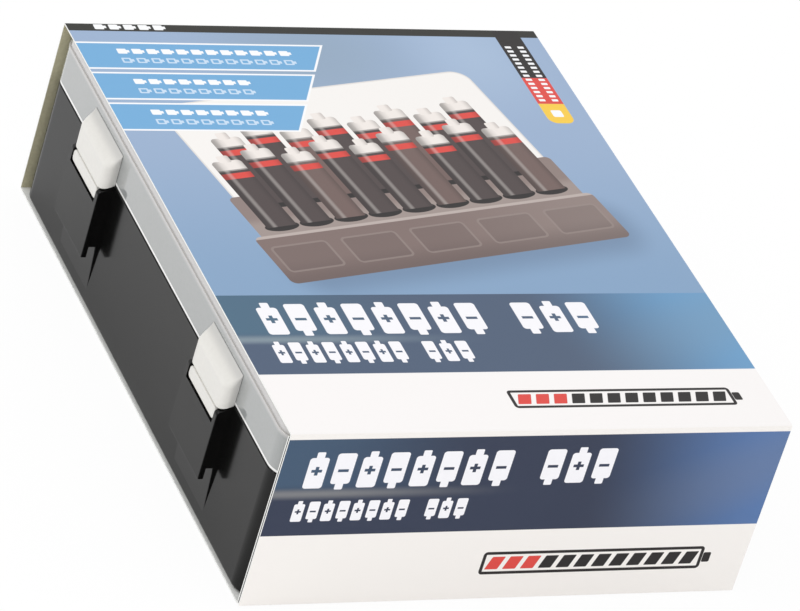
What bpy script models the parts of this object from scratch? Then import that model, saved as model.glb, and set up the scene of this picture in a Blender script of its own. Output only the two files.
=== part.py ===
"""Battery storage box: a two-part moulded box with two snap latches, held in a folded board sleeve.

Metres, +Z up. X runs from the latch side to the hinge side, Y from front to back. The origin is the middle
of the sleeve's underside. The sleeve is a band that is open at both X ends and slides off along X.
"""

import math

import bmesh
import bpy
from mathutils import Matrix, Vector

# Clearances shared by all pieces
piece_gap = 0.0003
joint_overlap = 0.0006
cut_overrun = 0.001
same_place = 0.00001

# Sleeve: one strip of board, folded round the box, its flap glued behind the front panel
sleeve_width = 0.150
sleeve_depth = 0.192
sleeve_height = 0.058
board = 0.0005
fold_radius = 0.0008
flap_gap = 0.0002
flap_height = 0.052
fold_segments = 4

# Moulded box, common to base and lid
end_recess = 0.0003
corner_radius = 0.007
corner_segments = 5

# Base shell
base_height = 0.0405
base_wall = 0.0016
base_floor = 0.0014
base_bottom_radius = 0.002
base_rim_radius = 0.0003

# Lid shell
lid_wall = 0.0013
lid_crown_height = 0.003
lid_crown_step = 0.0005
lid_edge_radius = 0.0014
lid_rim_radius = 0.0003

# Cell tray: a plate with cups under it, in bands from the front to the back
tray_rim_drop = 0.0006
tray_skin = 0.0012
cup_radius = 0.003
cup_segments = 2
cup_spacing = 0.004
bin_band = 0.032
thin_cell_band = 0.034
nine_volt_width = 0.029
nine_volt_depth = 0.020
nine_volt_gap = 0.005
nine_volt_margin = 0.0065
cell_width = 0.0168
cell_gap = 0.0057
corner_bin_columns = 1
thin_cell_room = 0.0135
locator_height = 0.0016
locator_width = 0.0012

# Latches, hinged on the lid's left wall
latch_spacing = 0.101
latch_width = 0.024
latch_height = 0.011
latch_reach = 0.0035
latch_skin = 0.0012
latch_bottom_drop = 0.0014
latch_edge_radius = 0.0006
latch_bead_radius = 0.0004
lip_width = 0.020
lip_drop = 0.0062
lip_height = 0.0038
lip_reach = 0.0043
lip_skin = 0.0015
lip_corner_radius = 0.0013
neck_inset = 0.0001
tooth_width = 0.014
tooth_height = 0.0014
tooth_depth = 0.0022

# Keepers, moulded on the base's left wall under the latches
keeper_reach = 0.0045
keeper_top_drop = 0.0021
keeper_cheek_drop = 0.0212
keeper_skin_drop = 0.0248
keeper_skin = 0.0017
keeper_cheek = 0.0016
keeper_edge_radius = 0.0012
ramp_drop = 0.0363
ramp_reach = 0.0009
keeper_roof = 0.0016
catch_height = 0.0012
catch_reach = 0.0014

# Hinges on the right wall: two lugs on the base, one knuckle on the lid, one pin through them
hinge_spacing = 0.101
hinge_offset = 0.0027
hinge_radius = 0.0022
knuckle_length = 0.012
lug_length = 0.003
lug_foot = 0.008
knuckle_foot = 0.008
pin_radius = 0.0011
pin_overhang = 0.0004
pin_edge_radius = 0.0002
round_segments = 20

# Places worked out from the sizes above
sleeve_inner_front = -sleeve_depth / 2 + 2 * board + flap_gap
sleeve_inner_back = sleeve_depth / 2 - board
box_front = sleeve_inner_front + piece_gap
box_back = sleeve_inner_back - piece_gap
box_middle = (box_front + box_back) / 2
box_width = sleeve_width - 2 * end_recess
left_wall = -box_width / 2
right_wall = box_width / 2
base_bottom = board + piece_gap
rim = base_bottom + base_height
lid_bottom = rim + piece_gap
lid_top = sleeve_height - board - piece_gap
tray_bottom = base_bottom + base_floor + piece_gap
tray_top = rim - tray_rim_drop
hinge_x = right_wall + hinge_offset
hinge_z = (rim + lid_bottom) / 2
latch_axis_x = left_wall - piece_gap - latch_bead_radius
latch_axis_z = rim + latch_height - latch_bead_radius


def clear_scene():
    for existing in list(bpy.data.objects):
        bpy.data.objects.remove(existing)


def new_collection(name):
    collection = bpy.data.collections.new(name)
    bpy.context.scene.collection.children.link(collection)
    return collection


def plastic(name, colour, roughness, alpha=1.0):
    """A Principled material, see-through where alpha is under 1."""
    material = bpy.data.materials.new(name)
    material.use_nodes = True
    shader = material.node_tree.nodes["Principled BSDF"]
    shader.inputs["Base Color"].default_value = (*colour, 1.0)
    shader.inputs["Roughness"].default_value = roughness
    shader.inputs["Metallic"].default_value = 0.0
    shader.inputs["Alpha"].default_value = alpha
    return material


def place(mesh_data, name, collection, material=None, origin=(0, 0, 0)):
    """Makes an object of a bmesh in world places, with the object's origin at the given point."""
    mesh_data.transform(Matrix.Translation(-Vector(origin)))
    mesh = bpy.data.meshes.new(name)
    bmesh.ops.recalc_face_normals(mesh_data, faces=mesh_data.faces)
    mesh_data.to_mesh(mesh)
    mesh_data.free()
    mesh.shade_smooth()
    mesh.set_sharp_from_angle(angle=math.radians(30))
    if material:
        mesh.materials.append(material)
    piece = bpy.data.objects.new(name, mesh)
    piece.location = origin
    collection.objects.link(piece)
    return piece


def helper(mesh_data, name):
    """A cutter or an added lump, which a Boolean takes and the model leaves out."""
    piece = place(mesh_data, name, helpers)
    piece.hide_render = True
    piece.display_type = "WIRE"
    return piece


def combine(target, other, operation):
    modifier = target.modifiers.new(other.name, "BOOLEAN")
    modifier.operation = operation
    modifier.solver = "EXACT"
    modifier.object = other


def bevel(mesh_data, edges, radius, segments):
    bmesh.ops.bevel(
        mesh_data,
        geom=edges,
        offset=radius,
        segments=segments,
        profile=0.5,
        affect="EDGES",
        clamp_overlap=True,
    )


def level_edges(mesh_data, height):
    return [e for e in mesh_data.edges if all(abs(v.co.z - height) < same_place for v in e.verts)]


def add_block(mesh_data, low, high, side_radius=0.0, side_segments=1, low_radius=0.0, high_radius=0.0):
    """Adds a box between two corners, with its upright, lower and upper edges rounded where asked."""
    block = bmesh.new()
    bmesh.ops.create_cube(block, size=1.0)
    for vert in block.verts:
        vert.co = [high[axis] if vert.co[axis] > 0 else low[axis] for axis in range(3)]
    if side_radius:
        height = high[2] - low[2]
        upright = [e for e in block.edges if abs(e.verts[0].co.z - e.verts[1].co.z) > height / 2]
        bevel(block, upright, side_radius, side_segments)
    if low_radius:
        bevel(block, level_edges(block, low[2]), low_radius, 2)
    if high_radius:
        bevel(block, level_edges(block, high[2]), high_radius, 2)
    join(mesh_data, block)


def join(mesh_data, extra):
    """Adds one bmesh to another."""
    carrier = bpy.data.meshes.new("carrier")
    extra.to_mesh(carrier)
    extra.free()
    mesh_data.from_mesh(carrier)
    bpy.data.meshes.remove(carrier)


def add_prism(mesh_data, profile, middle_y, width, end_radius=0.0, rounds_edge=None):
    """Adds an outline in the XZ plane, drawn out along Y, rounding the end edges that rounds_edge picks."""
    prism = bmesh.new()
    start = [prism.verts.new((x, middle_y - width / 2, z)) for x, z in profile]
    face = prism.faces.new(start)
    drawn = bmesh.ops.extrude_face_region(prism, geom=[face])
    for vert in drawn["geom"]:
        if isinstance(vert, bmesh.types.BMVert):
            vert.co.y = middle_y + width / 2
    if end_radius:
        ends = [e for e in prism.edges if abs(e.verts[0].co.y - e.verts[1].co.y) < width / 2]
        bevel(prism, [e for e in ends if rounds_edge(e)], end_radius, 2)
    join(mesh_data, prism)


def add_rod(mesh_data, radius, length, centre, edge_radius=0.0):
    """Adds a round bar along Y."""
    rod = bmesh.new()
    turn = Matrix.Translation(centre) @ Matrix.Rotation(math.pi / 2, 4, "X")
    bmesh.ops.create_cone(
        rod, cap_ends=True, segments=round_segments, radius1=radius, radius2=radius, depth=length, matrix=turn
    )
    if edge_radius:
        rims = [e for e in rod.edges if abs(e.verts[0].co.y - e.verts[1].co.y) < length / 2]
        bevel(rod, rims, edge_radius, 1)
    join(mesh_data, rod)


def arc(centre, radius, start_deg, end_deg, segments):
    """Points on an arc in a plane, both ends included."""
    points = []
    for step in range(segments + 1):
        angle = math.radians(start_deg + (end_deg - start_deg) * step / segments)
        points.append((centre[0] + radius * math.cos(angle), centre[1] + radius * math.sin(angle)))
    return points


def make_sleeve():
    """The folded strip: flap, bottom, back, top and front panel, as one sheet given its thickness."""
    half = board / 2
    turn = fold_radius - half
    flap_y = -sleeve_depth / 2 + board + flap_gap + half
    front_y = -sleeve_depth / 2 + half
    back_y = sleeve_depth / 2 - half
    low_z = half
    high_z = sleeve_height - half
    path = [(flap_y, flap_height)]
    path += arc((flap_y + turn, low_z + turn), turn, 180, 270, fold_segments)
    path += arc((back_y - turn, low_z + turn), turn, 270, 360, fold_segments)
    path += arc((back_y - turn, high_z - turn), turn, 0, 90, fold_segments)
    path += arc((front_y + turn, high_z - turn), turn, 90, 180, fold_segments)
    path += [(front_y, half)]
    sheet = bmesh.new()
    rows = []
    for y, z in path:
        rows.append([sheet.verts.new((side * sleeve_width / 2, y, z)) for side in (-1, 1)])
    for first, second in zip(rows, rows[1:]):
        sheet.faces.new((first[0], first[1], second[1], second[0]))
    printed = plastic("printed_board", (0.62, 0.68, 0.78), 0.45)
    sleeve = place(sheet, "sleeve_board", parts, printed)
    solid = sleeve.modifiers.new("board", "SOLIDIFY")
    solid.thickness = board
    solid.offset = 0.0
    solid.use_even_offset = True


def keeper_profile():
    """Side view of a keeper: rounded top, hanging skin, and the ramp that runs out down the wall."""
    outer = left_wall - keeper_reach
    skin_in = outer + keeper_skin
    top = rim - keeper_top_drop
    inside = left_wall + joint_overlap
    points = [(inside, top)]
    centre = (outer + keeper_edge_radius, top - keeper_edge_radius)
    points += arc(centre, keeper_edge_radius, 90, 180, 3)
    points += [(outer, rim - keeper_skin_drop), (skin_in, rim - keeper_skin_drop)]
    points += [(skin_in, rim - keeper_cheek_drop), (left_wall - ramp_reach, rim - keeper_cheek_drop)]
    points += [(left_wall, rim - ramp_drop), (inside, rim - ramp_drop)]
    return points


def lug_profile():
    """Side view of a base lug: a round eye on a gusset that stays below the parting line at the wall."""
    inside = right_wall - joint_overlap
    below = rim - 2 * piece_gap
    points = [(inside, rim - lug_foot), (inside, below), (right_wall + piece_gap, below)]
    points += arc((hinge_x, hinge_z), hinge_radius, 190, -50, round_segments // 2)
    return points


def knuckle_profile():
    """Side view of the lid's knuckle: the same eye on an arm that stays above the parting line."""
    inside = right_wall - joint_overlap
    above = lid_bottom + 2 * piece_gap
    points = [(inside, lid_bottom + knuckle_foot), (inside, above), (right_wall + piece_gap, above)]
    points += arc((hinge_x, hinge_z), hinge_radius, 170, 410, round_segments // 2)
    return points


def station_places(spacing):
    return {"front": box_middle - spacing / 2, "back": box_middle + spacing / 2}


def make_base():
    """The dark lower shell with its keepers on the left wall and hinge lugs on the right one."""
    shell = bmesh.new()
    add_block(
        shell,
        (left_wall, box_front, base_bottom),
        (right_wall, box_back, rim),
        corner_radius,
        corner_segments,
        base_bottom_radius,
        base_rim_radius,
    )
    black = plastic("base_plastic", (0.035, 0.035, 0.034), 0.25)
    base = place(shell, "base_shell", parts, black)

    lumps = bmesh.new()
    for middle in station_places(latch_spacing).values():
        add_prism(lumps, keeper_profile(), middle, latch_width)
    lug_offset = (knuckle_length + lug_length) / 2 + piece_gap
    for middle in station_places(hinge_spacing).values():
        for side in (-1, 1):
            add_prism(lumps, lug_profile(), middle + side * lug_offset, lug_length)
    combine(base, helper(lumps, "keepers_and_lugs"), "UNION")

    hollows = bmesh.new()
    add_block(
        hollows,
        (left_wall + base_wall, box_front + base_wall, base_bottom + base_floor),
        (right_wall - base_wall, box_back - base_wall, rim + cut_overrun),
        corner_radius - base_wall,
        corner_segments,
    )
    notch_width = lip_width + 2 * piece_gap
    notch_floor = rim - lip_drop - 2 * piece_gap
    for middle in station_places(latch_spacing).values():
        add_block(
            hollows,
            (left_wall - keeper_reach - cut_overrun, middle - notch_width / 2, notch_floor),
            (left_wall + piece_gap / 3, middle + notch_width / 2, rim - keeper_top_drop + cut_overrun),
        )
        half_cavity = latch_width / 2 - keeper_cheek
        cavity_x = left_wall - keeper_reach + keeper_skin
        add_block(
            hollows,
            (cavity_x, middle - half_cavity, rim - keeper_cheek_drop - cut_overrun),
            (left_wall - ramp_reach, middle + half_cavity, notch_floor - keeper_roof),
        )
    for middle in station_places(hinge_spacing).values():
        add_rod(hollows, pin_radius + piece_gap, pin_length() + cut_overrun, (hinge_x, middle, hinge_z))
    combine(base, helper(hollows, "base_hollows"), "DIFFERENCE")

    catches = bmesh.new()
    catch_low = catch_level()
    for middle in station_places(latch_spacing).values():
        profile = [
            (left_wall + joint_overlap, catch_low),
            (left_wall + joint_overlap, catch_low + catch_height + catch_reach),
            (left_wall, catch_low + catch_height + catch_reach),
            (left_wall - catch_reach, catch_low + catch_height),
            (left_wall - catch_reach, catch_low),
        ]
        add_prism(catches, profile, middle, tooth_width)
    combine(base, helper(catches, "catches"), "UNION")


def catch_level():
    """Height of the catch's flat underside, just above the latch's tooth."""
    return rim - lip_drop + tooth_height + 2 * piece_gap


def pin_length():
    return knuckle_length + 2 * (piece_gap + lug_length + pin_overhang)


def tray_frame():
    """Low and high corners of the tray, without its height."""
    side = base_wall + piece_gap
    return (left_wall + side, box_front + side), (right_wall - side, box_back - side)


def copies(low, high, room):
    """How many cups or cells fit between two places, each with at least the given room."""
    return max(int((high - low) / room), 1)


def even_spans(low, high, count, width):
    """Stretches of one width, each in the middle of its share of the way from low to high."""
    pitch = (high - low) / count
    middles = [low + (index + 0.5) * pitch for index in range(count)]
    return [(middle - width / 2, middle + width / 2) for middle in middles]


def cup_plan():
    """The inside of every cup as ((x low, x high), (y low, y high)), listed by what the cups hold."""
    (x_low, y_low), (x_high, y_high) = tray_frame()
    bins_end = y_low + bin_band
    thin_end = bins_end + thin_cell_band
    nine_volt_end = thin_end + nine_volt_depth + nine_volt_margin
    (bin_row,) = even_spans(y_low, bins_end, 1, bin_band - cup_spacing)
    (thin_row,) = even_spans(bins_end, thin_end, 1, thin_cell_band - cup_spacing)
    (nine_volt_row,) = even_spans(thin_end, nine_volt_end, 1, nine_volt_depth)

    cell_room = cell_width + cell_gap
    cell_columns = copies(x_low, x_high, cell_room)
    pitch = (x_high - x_low) / cell_columns
    side = cup_spacing / 2
    corner_end = x_low + corner_bin_columns * pitch
    other_corner = x_high - corner_bin_columns * pitch
    marks = [x_low, corner_end, other_corner, x_high]
    bins = [(start + side, end - side) for start, end in zip(marks, marks[1:])]
    columns = even_spans(x_low, x_high, cell_columns, cell_width)
    rows = even_spans(nine_volt_end, y_high, copies(nine_volt_end, y_high, cell_room), cell_width)
    nine_volt_room = nine_volt_width + nine_volt_gap
    nine_volts = even_spans(x_low, x_high, copies(x_low, x_high, nine_volt_room), nine_volt_width)
    return {
        "bins": [(span, bin_row) for span in bins],
        "thin_cells": [((x_low + side, x_high - side), thin_row)],
        "nine_volts": [(span, nine_volt_row) for span in nine_volts],
        "cells": [(span, row) for row in rows for span in columns],
    }


def add_cups(mesh_data, skin, low, high):
    """Adds a block for each cup, grown by the skin on every side."""
    for spans in cup_plan().values():
        for (x0, x1), (y0, y1) in spans:
            corners = (x0 - skin, y0 - skin, low), (x1 + skin, y1 + skin, high)
            add_block(mesh_data, *corners, cup_radius + skin, cup_segments)


def make_tray():
    """The dark insert: a plate at the rim with a cup for each cell, and three bins at the front."""
    (x_low, y_low), (x_high, y_high) = tray_frame()
    plate = bmesh.new()
    radius = corner_radius - base_wall - piece_gap
    plate_low = tray_top - tray_skin
    add_block(plate, (x_low, y_low, plate_low), (x_high, y_high, tray_top), radius, corner_segments)
    grey = plastic("tray_plastic", (0.05, 0.05, 0.05), 0.45)
    tray = place(plate, "cell_tray", parts, grey)

    floor = tray_bottom + tray_skin
    cups = bmesh.new()
    add_cups(cups, tray_skin, tray_bottom, plate_low + tray_skin / 2)
    combine(tray, helper(cups, "tray_cups"), "UNION")
    pockets = bmesh.new()
    add_cups(pockets, 0.0, floor, tray_top + cut_overrun)
    combine(tray, helper(pockets, "tray_pockets"), "DIFFERENCE")

    ((x0, x1), (y0, y1)) = cup_plan()["thin_cells"][0]
    bottom, top = floor - tray_skin / 2, floor + locator_height
    half = locator_width / 2
    into_wall = tray_skin / 2
    columns = copies(x0, x1, thin_cell_room)
    pitch = (x1 - x0) / columns
    ribs = bmesh.new()
    for index in range(1, columns):
        x = x0 + index * pitch
        add_block(ribs, (x - half, y0 - into_wall, bottom), (x + half, y1 + into_wall, top))
    combine(tray, helper(ribs, "cell_locators"), "UNION")
    rows = copies(y0, y1, thin_cell_room)
    pitch = (y1 - y0) / rows
    dividers = bmesh.new()
    for index in range(1, rows):
        y = y0 + index * pitch
        add_block(dividers, (x0 - into_wall, y - half, bottom), (x1 + into_wall, y + half, top - half / 2))
    combine(tray, helper(dividers, "row_locators"), "UNION")


def make_lid():
    """The frosted lid: walls, a slightly narrower crown, and the two hinge knuckles."""
    shell = bmesh.new()
    crown_low = lid_top - lid_crown_height
    add_block(
        shell,
        (left_wall, box_front, lid_bottom),
        (right_wall, box_back, crown_low),
        corner_radius,
        corner_segments,
        lid_rim_radius,
        lid_rim_radius,
    )
    frosted = plastic("lid_plastic", (0.80, 0.81, 0.81), 0.4, 0.9)
    lid = place(shell, "lid_shell", parts, frosted)

    crown = bmesh.new()
    add_block(
        crown,
        (left_wall + lid_crown_step, box_front + lid_crown_step, crown_low - joint_overlap),
        (right_wall - lid_crown_step, box_back - lid_crown_step, lid_top),
        corner_radius - lid_crown_step,
        corner_segments,
        0.0,
        lid_edge_radius,
    )
    combine(lid, helper(crown, "lid_crown"), "UNION")

    knuckles = bmesh.new()
    for middle in station_places(hinge_spacing).values():
        add_prism(knuckles, knuckle_profile(), middle, knuckle_length)
    combine(lid, helper(knuckles, "lid_knuckles"), "UNION")

    hollows = bmesh.new()
    side = lid_wall + lid_crown_step
    add_block(
        hollows,
        (left_wall + side, box_front + side, lid_bottom - cut_overrun),
        (right_wall - side, box_back - side, lid_top - lid_wall),
        corner_radius - side,
        corner_segments,
    )
    for middle in station_places(hinge_spacing).values():
        add_rod(hollows, pin_radius + piece_gap, pin_length(), (hinge_x, middle, hinge_z))
    combine(lid, helper(hollows, "lid_hollows"), "DIFFERENCE")


def hood_profile(inset, overrun):
    """Side view of a latch's hood: a slope from its root on the wall out to its lower edge."""
    back = left_wall - piece_gap + overrun
    top = rim + latch_height - latch_bead_radius
    slope = (latch_height + latch_bottom_drop) / latch_reach
    outer = left_wall - latch_reach + inset
    low = rim - latch_bottom_drop
    return [
        (back, top - inset * slope / 2),
        (outer, low),
        (outer, low - overrun),
        (back, rim - latch_bottom_drop / 4 - overrun),
    ]


def make_latch(name, middle):
    """One snap latch: a hollow hood with cheeks, a finger lip below it and a tooth behind the lip."""
    origin = (latch_axis_x, middle, latch_axis_z)
    hood = bmesh.new()
    outer_edge = left_wall - piece_gap - latch_edge_radius / 2
    add_prism(
        hood,
        hood_profile(0.0, 0.0),
        middle,
        latch_width,
        latch_edge_radius,
        lambda edge: any(v.co.x < outer_edge for v in edge.verts)
        and abs(edge.verts[0].co.z - edge.verts[1].co.z) > latch_height / 2,
    )
    milky = plastic("latch_plastic", (0.86, 0.85, 0.83), 0.35)
    latch = place(hood, name, parts, milky, origin)

    cavity = bmesh.new()
    add_prism(cavity, hood_profile(latch_skin, cut_overrun), middle, latch_width - 2 * latch_skin)
    combine(latch, helper(cavity, name + "_cavity"), "DIFFERENCE")

    lip = bmesh.new()
    outer = left_wall - lip_reach
    low = rim - lip_drop
    add_block(
        lip,
        (outer, middle - lip_width / 2, low),
        (outer + lip_skin, middle + lip_width / 2, low + lip_height),
    )
    round_lip(lip)
    combine(latch, helper(lip, name + "_lip"), "UNION")

    neck = bmesh.new()
    neck_x = left_wall - latch_reach + neck_inset
    half_neck = lip_width / 2 - lip_corner_radius
    add_block(
        neck,
        (neck_x, middle - half_neck, low + lip_height - joint_overlap),
        (neck_x + latch_skin, middle + half_neck, rim - latch_bottom_drop + joint_overlap),
    )
    combine(latch, helper(neck, name + "_neck"), "UNION")

    inner = bmesh.new()
    inner_x = left_wall - tooth_reach_end()
    add_block(
        inner,
        (outer + lip_skin / 2, middle - tooth_width / 2, low + piece_gap),
        (inner_x, middle + tooth_width / 2, low + tooth_height),
    )
    combine(latch, helper(inner, name + "_tooth"), "UNION")

    bead = bmesh.new()
    add_rod(bead, latch_bead_radius, latch_width - 2 * latch_edge_radius, origin)
    combine(latch, helper(bead, name + "_bead"), "UNION")


def tooth_reach_end():
    """How far from the wall the tooth's end stays: it reaches in under the catch."""
    return lip_reach - lip_skin - tooth_depth


def round_lip(mesh_data):
    """Rounds the lip's four corners, seen from outside, and softens its outer rim."""
    along_x = [e for e in mesh_data.edges if abs(e.verts[0].co.x - e.verts[1].co.x) > lip_skin / 2]
    bevel(mesh_data, along_x, lip_corner_radius, 3)
    outer = left_wall - lip_reach + lip_skin / 4
    rim_edges = [e for e in mesh_data.edges if all(v.co.x < outer for v in e.verts)]
    bevel(mesh_data, rim_edges, lip_skin / 4, 1)


def make_pin(name, middle):
    """One hinge pin of dark plastic, with its origin on the hinge axis."""
    rod = bmesh.new()
    add_rod(rod, pin_radius, pin_length(), (hinge_x, middle, hinge_z), pin_edge_radius)
    dark = plastic("pin_plastic", (0.05, 0.05, 0.05), 0.35)
    place(rod, name, parts, dark, (hinge_x, middle, hinge_z))


clear_scene()
parts = new_collection("battery_storage_box")
helpers = new_collection("cutters_and_lumps")
make_sleeve()
make_base()
make_tray()
make_lid()
for side_name, side_middle in station_places(latch_spacing).items():
    make_latch("latch_" + side_name, side_middle)
for side_name, side_middle in station_places(hinge_spacing).items():
    make_pin("hinge_pin_" + side_name, side_middle)
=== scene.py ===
"""Looks of the battery storage box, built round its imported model.

Metres, +Z up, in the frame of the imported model. X runs from the latch side to the hinge side, and Y from
front to back. The sleeve's print is laid out in millimetres from its left and back edges.
"""

import math

import bmesh
import bpy
from mathutils import Matrix, Vector


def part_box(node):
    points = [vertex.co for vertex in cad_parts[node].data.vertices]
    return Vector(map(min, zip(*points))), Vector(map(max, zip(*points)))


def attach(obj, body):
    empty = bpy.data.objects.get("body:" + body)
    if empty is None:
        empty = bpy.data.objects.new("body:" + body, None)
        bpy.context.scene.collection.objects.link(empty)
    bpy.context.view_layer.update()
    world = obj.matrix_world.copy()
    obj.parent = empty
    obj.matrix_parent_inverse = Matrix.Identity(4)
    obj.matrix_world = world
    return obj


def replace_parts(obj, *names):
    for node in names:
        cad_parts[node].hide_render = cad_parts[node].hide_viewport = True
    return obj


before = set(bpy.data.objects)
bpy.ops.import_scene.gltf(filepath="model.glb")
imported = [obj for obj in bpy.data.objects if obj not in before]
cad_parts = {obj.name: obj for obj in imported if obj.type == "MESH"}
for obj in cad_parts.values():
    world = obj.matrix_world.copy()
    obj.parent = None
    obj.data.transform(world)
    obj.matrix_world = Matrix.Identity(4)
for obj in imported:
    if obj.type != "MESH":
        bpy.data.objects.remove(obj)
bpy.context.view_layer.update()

# Camera, with the lens for a sensor that spans the image's width
camera_place = (-0.68434, -1.14239, 0.88127)
camera_look = (0.43386, 0.72185, -0.53917)
camera_up = (0.00605, 0.59608, 0.80291)
camera_lens = 252.74
camera_sensor = 36.0

# Clearances
piece_gap = 0.0003
joint_overlap = 0.0006
cut_overrun = 0.001
same_place = 0.00001
skin_clearance = 0.0001

# Shading and steps of round shapes
sharp_deg = 32
board_sharp_deg = 40
soft_deg = 40
hood_soft_deg = 50
edge_segments = 4
turn_segments = 6
large_turn_segments = 8
corner_segments = 14
round_segments = 32

# Shells
corner_radius = 0.007
base_wall = 0.0016
base_floor = 0.0014
base_bottom_radius = 0.0012
base_rim_radius = 0.0003
lid_wall = 0.0013
lid_crown_height = 0.003
lid_crown_step = 0.0005
lid_step_radius = 0.0002
lid_edge_radius = 0.0014
lid_rim_radius = 0.0003

# Keepers under the latches, in heights below the rim
keeper_reach = 0.0045
keeper_top_drop = 0.0021
keeper_root_drop = 0.0003
keeper_cheek_drop = 0.0212
keeper_skin_drop = 0.0248
keeper_skin = 0.0017
keeper_cheek = 0.0016
keeper_edge_radius = 0.0012
keeper_width = 0.024
keeper_roof = 0.0016
ramp_drop = 0.0363
ramp_reach = 0.0009
soft_edge = 0.00025
catch_height = 0.0012
catch_reach = 0.0014

# Latches
latch_width = 0.024
latch_height = 0.0102
latch_reach = 0.0041
latch_skin = 0.0012
latch_bottom_drop = 0.0018
latch_root_reach = 0.00015
latch_upright = 0.0072
latch_root_solid = 0.0026
latch_edge_radius = 0.0026
latch_edge_depth_share = 0.7
latch_slant = 0.0018
latch_rows = 18
lip_width = 0.020
lip_drop = 0.0062
lip_height = 0.0038
lip_reach = 0.0043
lip_skin = 0.0015
lip_corner_radius = 0.0013
lip_edge_radius = 0.0004
neck_inset = 0.0005
tooth_width = 0.014
tooth_height = 0.0014
tooth_depth = 0.0022

# Hinges
hinge_radius = 0.0022
knuckle_length = 0.012
lug_length = 0.003
lug_foot = 0.008
knuckle_foot = 0.008
pin_radius = 0.0011
pin_overhang = 0.0004
lug_arc_deg = (190, -50)
knuckle_arc_deg = (170, 410)

# Sleeve
board = 0.0005
fold_radius = 0.0008
flap_gap = 0.0004
flap_height = 0.0565
fold_segments = 8

# Print, in millimetres from the sleeve's left edge and back fold. The front panel counts down from its own
# fold. A shape of three numbers is half a width, half a height and a corner radius.
per_metre = 1000.0
ink_edge = 0.12
dark_strip = (-1.0, 4.2)
strip_row_start = 8.0
strip_row_count = 5

# A cell sign in a title
sign_pitch = 8.54
sign_tall = 14.0
sign_count = 12
sign_blank = 8
sign_body = (3.1, 6.0, 1.0)
sign_body_drop = 0.8
sign_nub = (1.3, 1.2, 0.4)
sign_nub_rise = 6.2
sign_arm = (1.7, 0.55, 0.0)
sign_post = (0.55, 1.7, 0.0)

# A small lying cell
small_pitch = 4.6
small_body = (1.45, 1.25, 0.35)
small_body_shift = 0.45
small_nub = (0.5, 0.6, 0.1)
small_nub_shift = 1.35
small_line = 0.6

# Bands and titles
top_band = (131.2, 166.3)
top_title_place = (8.5, 135.0)
top_title_scale = (1.0, 1.0)
top_small_place = (7.7, 152.2)
top_small_scale = (0.58, 0.66)
front_band = (1.9, 34.1)
front_title_place = (6.7, 6.5)
front_title_scale = (0.908, 0.85)
front_small_place = (6.6, 22.6)
front_small_scale = (0.51, 0.49)
band_left_end = 62.0
band_right_start = 88.0
band_right_end = 148.0
band_low_share = (0.45, 0.62)
band_streak_share = 0.565
band_streak_half_share = 0.075
band_streak_reach = (76.0, 10.0)
band_streak_strength = 0.9
band_lean = 7.0
band_swirl_pitches = (3.4, 0.045)
band_swirl_strength = 0.22

# Charge bars
bar_length = 68.0
bar_half = 3.9
bar_corner = 1.2
bar_line = 1.0
bar_nub = (1.2, 1.7, 0.5)
bar_nub_shift = 1.3
bar_margin = 1.5
bar_space = 0.75
bar_lean = 0.35
bar_round = 0.3
bar_count = 12
bar_red_count = 3
top_bar_place = (69.5, 178.5)
front_bar_place = (68.5, 45.5)

# Label boxes
label_first = 9.8
label_pitch = 15.2
label_tall = 13.7
label_line = 0.75
label_end = 77.5
label_slant = 0.53
label_row_start = 11.0
label_row_drop = 4.6
label_row_counts = (12, 8, 8)

# Corner tag
tag_sides = (135.8, 144.2)
tag_dark_end = 25.3
tag_red_end = 38.6
tag_end = 48.5
tag_corner = 2.8
tag_mark = (1.0, 0.55, 0.2)
tag_mark_pitch = 2.1
tag_mark_start = 8.5
tag_mark_margin = 1.0
tag_dot = (1.7, 1.7, 0.6)

# Blue ground of the top, with two hazy places
low_blue_reach = (45.0, 131.0)
haze_middle = (72.0, 14.0)
haze_fade = (46.0, 4.0)
haze_share = 0.7
glow_middle = (124.0, 12.0)
glow_height_scale = 0.7
glow_fade = (30.0, 0.0)
glow_share = 0.2

# Picture, about its own middle and turned
picture_middle = (75.0, 81.0)
picture_turn_deg = -11.0
picture_scale = 1.09
board_box = (49.0, 28.0, 5.0)
board_rise = 18.0
board_line = 0.5
board_line_share = 0.25
shadow_box = (50.0, 8.0, 6.0)
shadow_shift = (3.0, 27.0)
shadow_fade = (9.0, -3.0)
shadow_share = 0.45
tray_front = (53.0, 10.0, 2.0)
tray_front_drop = 22.0
tray_front_light = (-10.0, 54.0)
tray_front_share = 0.5
tray_top = (50.5, 9.2, 1.6)
tray_top_drop = 9.0
tray_top_fade = (1.0, 5.0)
tray_top_share = 0.6
tray_rim_line = 1.1
tray_slot = (8.6, 5.6, 1.6)
tray_slot_line = 0.7
tray_slot_share = 0.22
tray_slot_line_share = 0.5
cell_pitch = 10.6
cell_box = (4.5, 14.5, 1.3)
cell_rise = 5.5
cell_stagger = 3.4
cell_nub = (1.8, 1.5, 0.6)
cell_cap = 4.4
cell_stripe = (5.4, 7.8)
cell_foot = (5.1, 1.9)
cell_foot_edge = (1.03, 0.97)
cell_colour_turns = 3
cell_cap_line = 0.5
cell_cap_line_share = 0.6
cell_side_shift = 0.9
cell_side_fade = (1.2, 5.2)
cell_side_share = 0.6
cell_shine_shift = 2.0
cell_shine_fade = (1.1, 0.1)
cell_shine_share = 0.24
cell_nub_fade = (0.0, 2.0)
cell_nub_share = 0.5

# Rows of cells: how many, how far shifted and how far raised
front_row = (9, 5.3, 0.0)
back_row = (8, 0.0, 9.5)

# Underside
bottom_row = (60.0, 0.9, 0.9)
bottom_row_pitch = 5.0
bottom_rows_end = (20.0, 84.0)
bottom_sign_place = (24.0, 120.0)

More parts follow.
